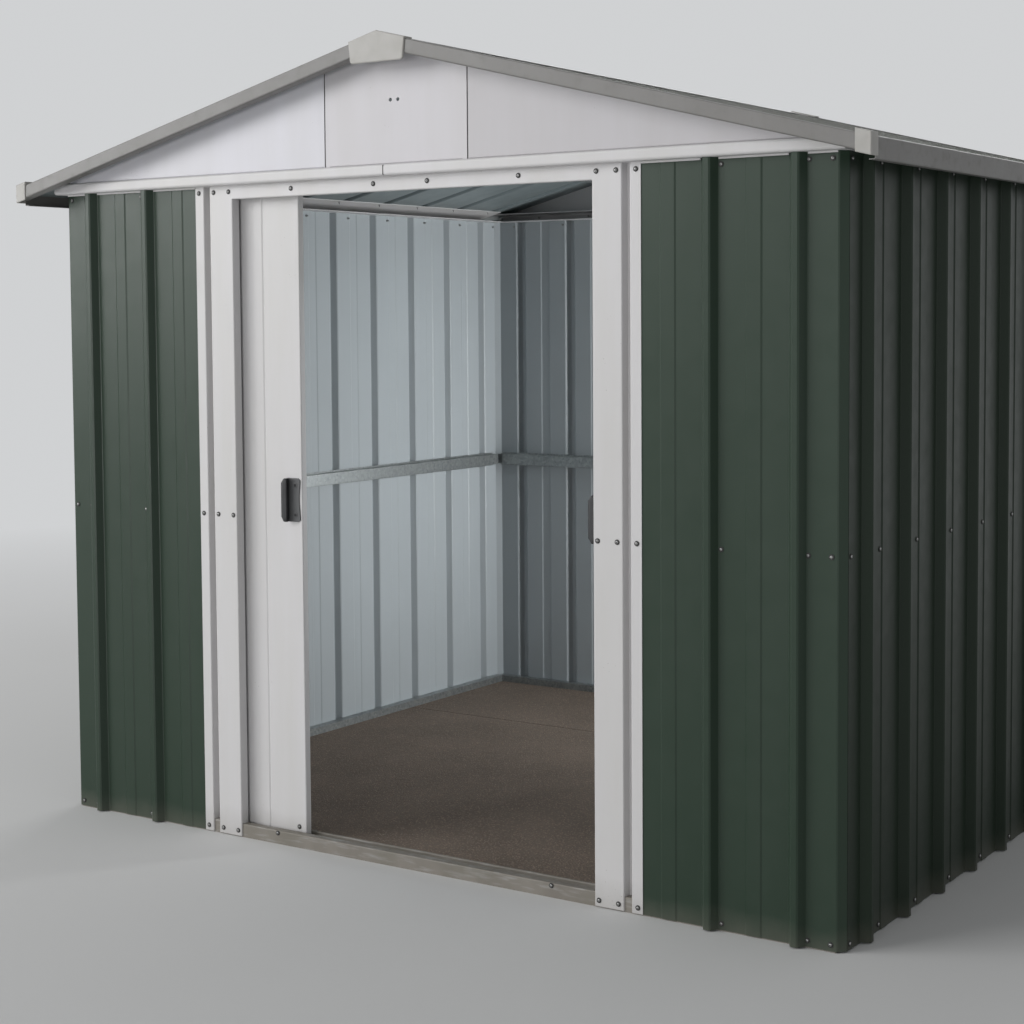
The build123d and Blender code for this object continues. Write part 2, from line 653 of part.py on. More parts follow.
# Doors
def door_leaf(width=DOOR_WIDTH):
    """Door sheet with creases, its sides folded back and hemmed; 0 is its leading edge."""
    run = width - 2 * DOOR_CREASE_MARGIN
    back = -DOOR_THICKNESS
    line = [(DOOR_HEM, back), (0, back), (0, 0)]
    for i in range(DOOR_CREASES):
        centre = DOOR_CREASE_MARGIN + i * run / (DOOR_CREASES - 1)
        line += [(centre - DOOR_CREASE_WIDTH / 2, 0, 0), (centre, -DOOR_CREASE_DEPTH, 0)]
        line += [(centre + DOOR_CREASE_WIDTH / 2, 0, 0)]
    line += [(width, 0), (width, back), (width - DOOR_HEM, back)]
    points = [(u, front(DOOR_SETBACK - v), bend) for u, v, bend in folded(line, BEND)]
    return upright(points, DOOR_BOTTOM, DOOR_TOP)


def door_stiffeners():
    """Channels inside the head and foot of a door."""
    back = front(DOOR_BACK - GAUGE)
    face = front(DOOR_SETBACK + DOOR_CREASE_DEPTH + 2 * GAUGE)
    rails = []
    for z0 in (DOOR_BOTTOM, DOOR_TOP - STIFFENER_HEIGHT):
        z1 = z0 + STIFFENER_HEIGHT
        line = [(face, z0), (back, z0), (back, z1), (face, z1)]
        rails.append(along_x(folded(line[::-1]), GAUGE + BEND, DOOR_WIDTH - GAUGE - BEND))
    return group(*rails)


def hanger_outline():
    """Flange on the door's head, a stem through the slot of the track and a head that rests in it."""
    flange = DOOR_THICKNESS / 2 - RUNNER_PLAY
    stem = TRACK_SLOT / 2 - RUNNER_SIDE_PLAY
    head = TRACK_WIDTH / 2 - RUNNER_SIDE_PLAY
    rest = TRACK_BOTTOM + GAUGE + RUNNER_PLAY
    top = RAIL_BOTTOM - GAUGE - HANGER_RISE
    half = [(flange, DOOR_TOP), (flange, DOOR_TOP + HANGER_PLATE), (stem, DOOR_TOP + HANGER_PLATE)]
    half += [(stem, rest), (head, rest), (head, top)]
    return half + [(-u, z) for u, z in reversed(half)]


def foot_outline():
    half = DOOR_THICKNESS / 2 - FOOT_INSET
    low = TRACK_FLOOR + RUNNER_PLAY
    return [(-half, low), (half, low), (half, DOOR_BOTTOM), (-half, DOOR_BOTTOM)]


def door_runners():
    """Hangers that ride in the top track and feet that slide in the groove of the threshold."""
    pieces = []
    for x in (RUNNER_MARGIN, DOOR_WIDTH - RUNNER_MARGIN - RUNNER_LENGTH):
        for outline in (hanger_outline(), foot_outline()):
            points = [(front(TRACK_CENTRE + u), z) for u, z in outline]
            pieces.append(along_x(points, x, x + RUNNER_LENGTH))
    return group(*pieces)


def grip(low, high):
    """Bar with a rounded back and bevelled ends, hollowed on its inner side for the fingers."""
    face = front(DOOR_SETBACK)
    top = face - GRIP_DEPTH
    lip = top + GRIP_LIP
    section = [
        (-GRIP_WIDTH, face),
        (-GRIP_WIDTH, top, GRIP_ROUND),
        (0, top, GRIP_ROUND / 2),
        (0, lip, BEND),
        (-GRIP_HOLLOW, lip, BEND),
        (-GRIP_HOLLOW, face - HANDLE_PLATE),
        (0, face - HANDLE_PLATE),
        (0, face),
    ]
    shoulder = -GRIP_WIDTH + GRIP_BEVEL
    outline = [(shoulder, low), (0, low), (0, high), (shoulder, high)]
    outline += [(-GRIP_WIDTH, high - GRIP_BEVEL_HEIGHT), (-GRIP_WIDTH, low + GRIP_BEVEL_HEIGHT)]
    return upright(section, low, high) & along_y(outline, top, face)


def handle():
    """Moulded pull: a screwed plate on the right of a hollowed grip; 0 is where they meet."""
    low = HANDLE_Z - HANDLE_HEIGHT / 2
    high = HANDLE_Z + HANDLE_HEIGHT / 2
    face = front(DOOR_SETBACK)
    outline = [
        (0, low),
        (HANDLE_PLATE_WIDTH, low, HANDLE_CORNER),
        (HANDLE_PLATE_WIDTH - HANDLE_WAIST, HANDLE_Z, HANDLE_WAIST_BEND),
        (HANDLE_PLATE_WIDTH, high, HANDLE_CORNER),
        (0, high),
    ]
    shape = along_y(outline, face - HANDLE_PLATE, face) + grip(low, high)
    for z in (HANDLE_Z - BOSS_SPACING / 2, HANDLE_Z + BOSS_SPACING / 2):
        boss = Cylinder(BOSS_RADIUS, BOSS_HEIGHT, rotation=(90, 0, 0))
        place = (HANDLE_PLATE_WIDTH - BOSS_INSET, face - HANDLE_PLATE - BOSS_HEIGHT / 2, z)
        shape += boss.moved(Location(place))
    return shape


def left_door(shape):
    """The left door runs from its leading edge towards minus X."""
    return mirror_x(shape).moved(Location((LEFT_LEADING_EDGE, 0, 0)))


def right_door(shape):
    return shape.moved(Location((RIGHT_LEADING_EDGE, 0, 0)))


def floor_slabs():
    """Thin slabs that pave the inside of the base frame, with a joint across."""
    back = HALF_DEPTH - BASE_RAIL_WIDTH
    start = front(THRESHOLD_BACK - GAUGE)
    half = HALF_WIDTH - BASE_RAIL_WIDTH
    joint = front(FLOOR_SPLIT)
    first = block(-half, half, start, joint, 0, FLOOR_THICKNESS)
    second = block(-half, half, joint + FLOOR_JOINT, back, 0, FLOOR_THICKNESS)
    return group(first, second)


PARTS = {
    "base_rail_front": base_rail_front(),
    "base_rail_back": base_rail_back(),
    "base_rail_left": mirror_x(base_rail_side()),
    "base_rail_right": base_rail_side(),
    "floor": floor_slabs(),
    "front_wall_left": mirror_x(front_wall()),
    "front_wall_right": front_wall(),
    "left_wall": mirror_x(side_wall()),
    "right_wall": side_wall(),
    "back_wall": back_wall(),
    "door_jamb_left": mirror_x(jamb_right()),
    "door_jamb_right": jamb_right(),
    "door_header": header(),
    "door_track": door_track(),
    "eave_rail_front": eave_rail_front(),
    "eave_rail_back": mirror_y(eave_rail_front()),
    "eave_rail_left": mirror_x(eave_rail_right()),
    "eave_rail_right": eave_rail_right(),
    "brace_left": mirror_x(brace_right()),
    "brace_right": brace_right(),
    "brace_back": brace_back(),
    "brace_front_left": mirror_x(brace_front_right()),
    "brace_front_right": brace_front_right(),
    "gable_front_left": mirror_x(gable_front_right()),
    "gable_front_centre": gable_front_centre(),
    "gable_front_right": gable_front_right(),
    "gable_back": gable_back(),
    "ridge_beam": ridge_beam(),
    "purlins": group(purlin_right(), mirror_x(purlin_right())),
    "roof_left": mirror_x(roof_right()),
    "roof_right": roof_right(),
    "ridge_cap": ridge_cap(),
    "verge_front_left": mirror_x(verge_front_right()),
    "verge_front_right": verge_front_right(),
    "verges_back": group(mirror_y(verge_front_right()), mirror_y(mirror_x(verge_front_right()))),
    "eave_trim_left": mirror_x(eave_trim_right()),
    "eave_trim_right": eave_trim_right(),
    "peak_cap_front": peak_cap_front(),
    "peak_cap_back": mirror_y(peak_cap_front()),
    "corner_caps": group(
        corner_cap(),
        mirror_x(corner_cap()),
        mirror_y(corner_cap()),
        mirror_y(mirror_x(corner_cap())),
    ),
    "left_door_leaf": left_door(door_leaf()),
    "left_door_stiffeners": left_door(door_stiffeners()),
    "left_door_runners": left_door(door_runners()),
    "left_door_handle": handle().moved(
        Location((LEFT_LEADING_EDGE - LEFT_HANDLE_INSET - HANDLE_PLATE_WIDTH, 0, 0))
    ),
    "right_door_leaf": right_door(door_leaf()),
    "right_door_stiffeners": right_door(door_stiffeners()),
    "right_door_runners": right_door(door_runners()),
    "right_door_handle": handle().moved(
        Location((RIGHT_LEADING_EDGE - RIGHT_GRIP_REACH + GRIP_WIDTH, 0, 0))
    ),
}


def main():
    os.makedirs("parts", exist_ok=True)
    for name, shape in PARTS.items():
        export_step(shape, f"parts/{name}.step")
        print(name, round(shape.volume / 1000), "cm3")


if __name__ == "__main__":
    main()
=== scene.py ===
"""Looks of the metal storage shed: materials, screws, moulded handles, floor, light and camera."""
import math

import bmesh
import bpy
from mathutils import Matrix, Vector


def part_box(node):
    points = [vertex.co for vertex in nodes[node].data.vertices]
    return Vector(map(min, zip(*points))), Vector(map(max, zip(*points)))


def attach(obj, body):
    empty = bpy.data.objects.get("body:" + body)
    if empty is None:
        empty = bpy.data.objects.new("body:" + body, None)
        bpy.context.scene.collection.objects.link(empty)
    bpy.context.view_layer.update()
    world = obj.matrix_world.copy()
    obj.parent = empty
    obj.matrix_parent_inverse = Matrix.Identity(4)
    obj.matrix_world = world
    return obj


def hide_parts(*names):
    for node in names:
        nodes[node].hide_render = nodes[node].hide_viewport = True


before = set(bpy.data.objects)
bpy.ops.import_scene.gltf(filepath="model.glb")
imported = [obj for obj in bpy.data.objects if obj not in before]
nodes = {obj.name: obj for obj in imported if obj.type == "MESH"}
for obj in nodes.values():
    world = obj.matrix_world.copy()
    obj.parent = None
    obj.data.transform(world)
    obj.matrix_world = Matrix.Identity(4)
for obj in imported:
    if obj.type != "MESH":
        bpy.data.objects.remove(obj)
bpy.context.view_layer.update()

# The photograph's camera, in metres and degrees
CAMERA_PLACE = (2.7242, -4.6064, 1.3266)
CAMERA_TURN = 34.014         # to the left of straight ahead
CAMERA_TILT = 3.448          # downwards
CAMERA_ROLL = -0.401
FOCAL_PIXELS = 1900.4
IMAGE_PIXELS = 1024
SENSOR = 36.0                # millimetres
SHIFT_X = 0.0015             # shares of the picture's width
SHIFT_Y = -0.0801

# The studio; lengths are in metres
BACKDROP = (0.63, 0.64, 0.65)
AMBIENT = (0.31, 0.315, 0.32)
FLOOR_PALE = (0.66, 0.66, 0.655)
FLOOR_PALER = (0.69, 0.69, 0.685)
FLOOR_RADIUS = 40
FLOOR_FADE = (3.0, 7.5)      # how far out the floor begins and ends to fade into the backdrop

# Sizes that repeat the shed's own, in metres
GAUGE = 0.002                # of every sheet
RIB_PITCH = 0.205
RIB_DEPTH = 0.020
RIB_HALF = 0.0215            # half of a rib's foot, with a little room
ROOF_SLOPE = math.radians(14.1)
SEAM_GAP = 0.0035            # between the sheets of the front gable
SEAM_DEPTH = 0.005
RAIL_JOINT = -0.030          # x of the joint between the two lengths of the front eave rail
RAIL_BEND = 0.005            # radius of its folds

# Places read from the boxes of the shed's pieces
WALL_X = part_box("right_wall")[1].x - RIB_DEPTH
WALL_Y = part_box("back_wall")[1].y - RIB_DEPTH
RAIL_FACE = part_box("eave_rail_back")[1].y
LIP_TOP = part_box("eave_rail_front")[0].z
ROOF_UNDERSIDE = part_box("ridge_beam")[1].z       # of the roof's pans, at the ridge
ROOF_TOP = ROOF_UNDERSIDE + GAUGE / math.cos(ROOF_SLOPE)

# Directions
UP = (0, 0, 1)
OUT = {"front": (0, -1, 0), "back": (0, 1, 0), "left": (-1, 0, 0), "right": (1, 0, 0)}
IN = {side: tuple(-v for v in axis) for side, axis in OUT.items()}

# Colours, as shares of red, green and blue light
GREEN = (0.021, 0.040, 0.025)
GREEN_DULL = (0.026, 0.045, 0.030)
# Side walls: the front's green paint made darker and duller, painted shade for walls that face away from
# the light
SHADED_SIDE_GREEN = (0.018, 0.030, 0.019)
SHADED_SIDE_GREEN_DULL = (0.022, 0.034, 0.023)
INNER = (0.42, 0.455, 0.475)
INNER_DULL = (0.36, 0.39, 0.405)
# The roof's inside: the walls' pale inner grey painted darker and greener, painted shade under the roof
SHADED_UNDER_ROOF = (0.235, 0.272, 0.28)
SHADED_UNDER_ROOF_DULL = (0.187, 0.22, 0.226)
WHITE = (0.635, 0.625, 0.635)
WHITE_WARM = (0.59, 0.58, 0.57)
# The front gable's sheets: one white in three tones, painted light on the left and painted shade in the
# middle and on the right, where less light falls
GABLE_LEFT_LIT = (0.64, 0.635, 0.68)
GABLE_LEFT_LIT_DULL = (0.60, 0.595, 0.625)
GABLE_CENTRE_HALF_SHADED = (0.59, 0.575, 0.60)
GABLE_CENTRE_HALF_SHADED_DULL = (0.55, 0.535, 0.545)
GABLE_RIGHT_SHADED = (0.525, 0.51, 0.53)
GABLE_RIGHT_SHADED_DULL = (0.49, 0.475, 0.485)
DUST = (0.20, 0.185, 0.155)
TRIM = (0.200, 0.195, 0.188)
TRIM_DULL = (0.176, 0.170, 0.162)
TRIM_GRIME = (0.13, 0.125, 0.105)
SILL = (0.245, 0.226, 0.198)
SILL_DULL = (0.19, 0.172, 0.148)
SILL_SCUFF = (0.40, 0.40, 0.39)
SILL_STAIN = (0.15, 0.14, 0.11)
ZINC_DARK = (0.23, 0.248, 0.25)
ZINC_PALE = (0.42, 0.44, 0.44)
BROWN_STONE_DARK = (0.126, 0.088, 0.064)
BROWN_STONE_PALE = (0.33, 0.248, 0.19)
GREY_STONE_DARK = (0.122, 0.10, 0.08)
GREY_STONE_PALE = (0.39, 0.318, 0.258)
CEMENT_DARK = (0.126, 0.097, 0.075)
CEMENT_PALE = (0.191, 0.148, 0.116)
STEEL_DARK = (0.24, 0.24, 0.24)
STEEL_PALE = (0.42, 0.42, 0.41)
CAP = (0.46, 0.45, 0.43)
CAP_DULL = (0.39, 0.38, 0.355)
HANDLE = (0.024, 0.025, 0.027)
HANDLE_DULL = (0.034, 0.035, 0.037)
# The pull's plate: the grip's black plastic painted a lighter grey, painted light on its flat face
LIT_PLATE_GREY = (0.088, 0.091, 0.094)
LIT_PLATE_GREY_DULL = (0.105, 0.107, 0.110)
NYLON = (0.62, 0.62, 0.60)
NYLON_DULL = (0.5, 0.5, 0.48)
RUBBER = (0.02, 0.02, 0.02)
RUBBER_DULL = (0.035, 0.034, 0.032)
BLACKENED = (0.010, 0.010, 0.011)
BLACKENED_DULL = (0.02, 0.02, 0.021)


# Materials
MIX_COLOURS = (6, 7)         # a Mix node's sockets for colours
MIX_RESULT = 2


class Shader:
    """A material under construction, with a short call for each kind of node."""

    def __init__(self, name, roughness=0.5, metallic=0.0, specular=0.5):
        self.material = bpy.data.materials.new(name)
        self.material.use_nodes = True
        self.tree = self.material.node_tree
        self.tree.nodes.clear()
        self.output = self.tree.nodes.new("ShaderNodeOutputMaterial")
        self.surface = self.tree.nodes.new("ShaderNodeBsdfPrincipled")
        self.surface.inputs["Roughness"].default_value = roughness
        self.surface.inputs["Metallic"].default_value = metallic
        self.surface.inputs["Specular IOR Level"].default_value = specular
        self.tree.links.new(self.surface.outputs["BSDF"], self.output.inputs["Surface"])
        place = self.tree.nodes.new("ShaderNodeTexCoord")
        self.point = place.outputs["Object"]
        self.facing = place.outputs["Normal"]

    def feed(self, node, key, value):
        if isinstance(value, bpy.types.NodeSocket):
            self.tree.links.new(value, node.inputs[key])
        else:
            node.inputs[key].default_value = value

    def math(self, operation, first, second):
        node = self.tree.nodes.new("ShaderNodeMath")
        node.operation = operation
        self.feed(node, 0, first)
        self.feed(node, 1, second)
        return node.outputs[0]

    def part(self, value, share):
        """Share of a value."""
        return self.math("MULTIPLY", value, share)

    def dot(self, vector, direction):
        node = self.tree.nodes.new("ShaderNodeVectorMath")
        node.operation = "DOT_PRODUCT"
        self.feed(node, 0, vector)
        self.feed(node, 1, direction)
        return node.outputs["Value"]

    def stretched(self, scale):
        node = self.tree.nodes.new("ShaderNodeVectorMath")
        node.operation = "MULTIPLY"
        self.feed(node, 0, self.point)
        self.feed(node, 1, scale)
        return node.outputs["Vector"]

    def noise(self, scale, detail=3.0, roughness=0.55, stretch=(1, 1, 1)):
        """Cloudy pattern around 0.5; scale counts its clouds in a metre."""
        node = self.tree.nodes.new("ShaderNodeTexNoise")
        self.feed(node, "Vector", self.stretched(stretch))
        self.feed(node, "Scale", scale)
        self.feed(node, "Detail", detail)
        self.feed(node, "Roughness", roughness)
        return node.outputs["Fac"]

    def cells(self, scale):
        """Pattern of cells; scale counts them in a metre."""
        node = self.tree.nodes.new("ShaderNodeTexVoronoi")
        self.feed(node, "Vector", self.point)
        self.feed(node, "Scale", scale)
        return node

    def spread(self, value, low, high, start=0.0, end=1.0):
        """Maps low..high of a value onto start..end, and no further."""
        node = self.tree.nodes.new("ShaderNodeMapRange")
        self.feed(node, "Value", value)
        self.feed(node, "From Min", low)
        self.feed(node, "From Max", high)
        self.feed(node, "To Min", start)
        self.feed(node, "To Max", end)
        return node.outputs["Result"]

    def mix(self, share, first, second):
        node = self.tree.nodes.new("ShaderNodeMix")
        node.data_type = "RGBA"
        self.feed(node, "Factor", share)
        for key, colour in zip(MIX_COLOURS, (first, second)):
            self.feed(node, key, colour if isinstance(colour, bpy.types.NodeSocket) else (*colour, 1.0))
        return node.outputs[MIX_RESULT]

    def colour(self, value):
        self.feed(self.surface, "Base Color", value)

    def roughness(self, value):
        self.feed(self.surface, "Roughness", value)

    def bump(self, height, distance, strength):
        """Raises the surface by a pattern, on top of the bumps that it has already."""
        node = self.tree.nodes.new("ShaderNodeBump")
        self.feed(node, "Height", height)
        node.inputs["Distance"].default_value = distance
        node.inputs["Strength"].default_value = strength
        if self.surface.inputs["Normal"].is_linked:
            before = self.surface.inputs["Normal"].links[0].from_socket
            self.tree.links.new(before, node.inputs["Normal"])
        self.tree.links.new(node.outputs["Normal"], self.surface.inputs["Normal"])


def dirt_below(shader, height, reach):
    """Share of splashed dirt, most at the ground and none above the reach."""
    level = shader.dot(shader.point, UP)
    ragged = shader.math("ADD", level, shader.part(shader.noise(scale=14, detail=5), share=-height))
    return shader.spread(ragged, low=-height * 0.4, high=reach, start=1.0, end=0.0)


def paint_detail(shader, tint, dull):
    """Coated steel: faint rolling streaks down the sheet, fine orange peel and slow waves."""
    streak = shader.noise(scale=2.0, detail=5, stretch=(5, 5, 0.5))
    shader.bump(shader.noise(scale=700, detail=1), distance=0.00005, strength=0.5)
    waves = shader.noise(scale=3.5, detail=1, stretch=(1.6, 1.6, 0.7))
    shader.bump(waves, distance=0.0011, strength=0.3)
    return shader.mix(shader.spread(streak, low=0.3, high=0.7), tint, dull)


PALE_INSIDE = (INNER, INNER_DULL)
PLAIN_GREENS = (GREEN, GREEN_DULL)


def sheet_paint(name, outward, inside=PALE_INSIDE, greens=PLAIN_GREENS, gloss=0.35, dust_and_sheen=0.0):
    """Green outside and pale grey inside, told apart by the way that the sheet faces.

    The last argument sets the share of a pale dust colour mixed into the green in broad patches: partly
    settled dust, partly a painted sheen for the sky that the roof mirrors.
    """
    shader = Shader(name, specular=gloss)
    outside = shader.spread(shader.dot(shader.facing, outward), low=-0.2, high=0.0)
    green = paint_detail(shader, *greens)
    splashed = dirt_below(shader, height=0.05, reach=0.03)
    green = shader.mix(shader.part(splashed, share=0.25), green, DUST)
    # Green paled in broad patches: partly dust, partly painted sheen
    if dust_and_sheen:
        cloud = shader.noise(scale=7, detail=6)
        patchy = shader.spread(cloud, low=0.3, high=0.7, start=dust_and_sheen * 0.6, end=dust_and_sheen * 1.2)
        green = shader.mix(patchy, green, DUST)
    inner = shader.mix(shader.noise(scale=3.0, detail=4), *inside)
    shader.colour(shader.mix(outside, inner, green))
    shader.roughness(shader.spread(shader.noise(scale=24), low=0.3, high=0.8, start=0.32, end=0.42))
    return shader.material


def white_paint(name, tint, dull):
    """White coated steel with rare specks of dust."""
    shader = Shader(name)
    body = paint_detail(shader, tint, dull)
    specks = shader.cells(scale=70)
    speck = shader.spread(specks.outputs["Distance"], low=0.05, high=0.09, start=1.0, end=0.0)
    rare = shader.spread(shader.noise(scale=6, detail=2), low=0.58, high=0.66)
    body = shader.mix(shader.part(shader.math("MULTIPLY", speck, rare), share=0.5), body, DUST)
    splashed = dirt_below(shader, height=0.05, reach=0.05)
    shader.colour(shader.mix(shader.part(splashed, share=0.3), body, DUST))
    shader.roughness(shader.spread(rare, low=0, high=1, start=0.42, end=0.5))
    return shader.material


def trim_paint():
    """Grey coated steel, grimy in patches."""
    shader = Shader("trim_paint")
    body = paint_detail(shader, TRIM, TRIM_DULL)
    grime = shader.spread(shader.noise(scale=45, detail=5), low=0.52, high=0.78)
    shader.colour(shader.mix(shader.part(grime, share=0.2), body, TRIM_GRIME))
    shader.roughness(shader.spread(grime, low=0, high=1, start=0.42, end=0.58))
    return shader.material


def sill_paint():
    """Grey base rail, scuffed and dusty."""
    shader = Shader("sill_paint")
    body = paint_detail(shader, SILL, SILL_DULL)
    scuff = shader.spread(shader.noise(scale=60, detail=6, stretch=(0.25, 1, 2)), low=0.52, high=0.72)
    body = shader.mix(shader.part(scuff, share=0.5), body, SILL_SCUFF)
    stain = shader.spread(shader.noise(scale=7, detail=5), low=0.45, high=0.7)
    shader.colour(shader.mix(shader.part(stain, share=0.55), body, SILL_STAIN))
    shader.roughness(shader.spread(scuff, low=0, high=1, start=0.55, end=0.35))
    return shader.material


def galvanised():
    """Zinc with flat spangles a few millimetres across."""
    shader = Shader("galvanised", roughness=0.4, metallic=0.75)
    spangle = shader.cells(scale=130)
    tone = shader.dot(spangle.outputs["Color"], (0.6, 0.4, 0.0))
    cloud = shader.noise(scale=8, detail=4)
    tone = shader.math("ADD", shader.part(tone, share=0.45), shader.part(cloud, share=0.5))
    shader.colour(shader.mix(shader.spread(tone, low=0.2, high=0.8), ZINC_DARK, ZINC_PALE))
    shader.roughness(shader.spread(tone, low=0.2, high=0.8, start=0.48, end=0.3))
    shader.bump(shader.noise(scale=300), distance=0.00005, strength=0.6)
    return shader.material


def aggregate():
    """Paving with small stones of many browns and greys set in cement."""
    shader = Shader("exposed_aggregate", roughness=0.85)
    stones = shader.cells(scale=180)
    seed = stones.outputs["Color"]
    brown = shader.mix(shader.dot(seed, (1, 0, 0)), BROWN_STONE_DARK, BROWN_STONE_PALE)
    grey = shader.mix(shader.dot(seed, (0, 1, 0)), GREY_STONE_DARK, GREY_STONE_PALE)
    stone = shader.mix(shader.spread(shader.dot(seed, (0, 0, 1)), low=0.45, high=0.55), brown, grey)
    gap = shader.spread(stones.outputs["Distance"], low=0.28, high=0.5)
    patch = shader.spread(shader.noise(scale=3.5, detail=5), low=0.3, high=0.7)
    cement = shader.mix(patch, CEMENT_DARK, CEMENT_PALE)
    shader.colour(shader.mix(gap, stone, cement))
    shader.bump(shader.math("SUBTRACT", 1.0, gap), distance=0.0012, strength=0.8)
    shader.bump(shader.noise(scale=1400), distance=0.0002, strength=0.6)
    return shader.material


def moulded(name, tint, dull, roughness):
    """Plastic, rubber or blackened steel with a fine grain."""
    shader = Shader(name)
    cloud = shader.noise(scale=16, detail=5)
    shader.colour(shader.mix(shader.spread(cloud, low=0.3, high=0.7), tint, dull))
    grain = shader.noise(scale=60)
    shader.roughness(shader.spread(grain, low=0.3, high=0.7, start=roughness - 0.05, end=roughness + 0.08))
    shader.bump(shader.noise(scale=1800, detail=2), distance=0.00008, strength=0.6)
    return shader.material


def screw_steel():
    """Bright steel of the screws, tarnished in tiny clouds."""
    shader = Shader("screw_steel", roughness=0.3, metallic=0.9)
    cloud = shader.noise(scale=500, detail=4)
    shader.colour(shader.mix(cloud, STEEL_DARK, STEEL_PALE))
    shader.roughness(shader.spread(cloud, low=0.3, high=0.7, start=0.26, end=0.42))
    return shader.material


white = white_paint("white_paint", WHITE, WHITE_WARM)
# Lit and shaded copies of the white for the three front gable sheets: painted light and painted shade
gable_left_lit = white_paint("gable_paint_left_lit", GABLE_LEFT_LIT, GABLE_LEFT_LIT_DULL)
gable_centre_half_shaded = white_paint("gable_paint_centre_half_shaded", GABLE_CENTRE_HALF_SHADED, GABLE_CENTRE_HALF_SHADED_DULL)
gable_right_shaded = white_paint("gable_paint_right_shaded", GABLE_RIGHT_SHADED, GABLE_RIGHT_SHADED_DULL)
trim = trim_paint()
sill = sill_paint()
zinc = galvanised()
stone = aggregate()
cap_plastic = moulded("cap_plastic", CAP, CAP_DULL, roughness=0.5)
handle_plastic = moulded("handle_plastic", HANDLE, HANDLE_DULL, roughness=0.42)
lit_plate_plastic = moulded("lit_plate_plastic", LIT_PLATE_GREY, LIT_PLATE_GREY_DULL, roughness=0.5)
nylon = moulded("nylon", NYLON, NYLON_DULL, roughness=0.45)
rubber = moulded("washer_rubber", RUBBER, RUBBER_DULL, roughness=0.6)
steel = screw_steel()
black_steel = moulded("blackened_steel", BLACKENED, BLACKENED_DULL, roughness=0.35)

# The side walls take the darker greens: painted shade on the same paint as the front
SHADED_SIDE_SHEET = {"greens": (SHADED_SIDE_GREEN, SHADED_SIDE_GREEN_DULL), "gloss": 0.24}
# The roof's outside is paled in patches, partly dust and partly painted sheen; its inside is painted
# darker, as shade under the roof
ROOF_SHEET_SHADE_AND_SHEEN = {"inside": (SHADED_UNDER_ROOF, SHADED_UNDER_ROOF_DULL), "dust_and_sheen": 0.35}
LOOKS = {
    sheet_paint("sheet_left_shaded", OUT["left"], **SHADED_SIDE_SHEET): ["left_wall"],
    sheet_paint("sheet_right_shaded", OUT["right"], **SHADED_SIDE_SHEET): ["right_wall"],
    sheet_paint("sheet_front", OUT["front"]): ["front_wall_left", "front_wall_right"],
    sheet_paint("sheet_back", OUT["back"]): ["back_wall"],
    sheet_paint("sheet_roof_shade_and_sheen", UP, **ROOF_SHEET_SHADE_AND_SHEEN): ["roof_left", "roof_right"],
    white: [
        "door_jamb_left", "door_jamb_right", "door_header", "eave_rail_front", "eave_rail_back",
        "eave_rail_left", "eave_rail_right", "gable_back", "left_door_leaf", "right_door_leaf",
    ],
    gable_left_lit: ["gable_front_left"],
    gable_centre_half_shaded: ["gable_front_centre"],
    gable_right_shaded: ["gable_front_right"],
    trim: [
        "verge_front_left", "verge_front_right", "verges_back", "eave_trim_left", "eave_trim_right",
        "ridge_cap",
    ],
    sill: ["base_rail_front"],
    zinc: [
        "base_rail_left", "base_rail_right", "base_rail_back", "door_track", "brace_left", "brace_right",
        "brace_back", "brace_front_left", "brace_front_right", "ridge_beam", "purlins",
        "left_door_stiffeners", "right_door_stiffeners",
    ],
    stone: ["floor"],
    cap_plastic: ["peak_cap_front", "peak_cap_back", "corner_caps"],
    nylon: ["left_door_runners", "right_door_runners"],
    handle_plastic: ["left_door_handle", "right_door_handle"],
}
for material, names in LOOKS.items():
    for name in names:
        nodes[name].data.materials.clear()
        nodes[name].data.materials.append(material)


# Small forms
SMOOTH_BELOW = math.radians(40)      # steeper edges stay sharp


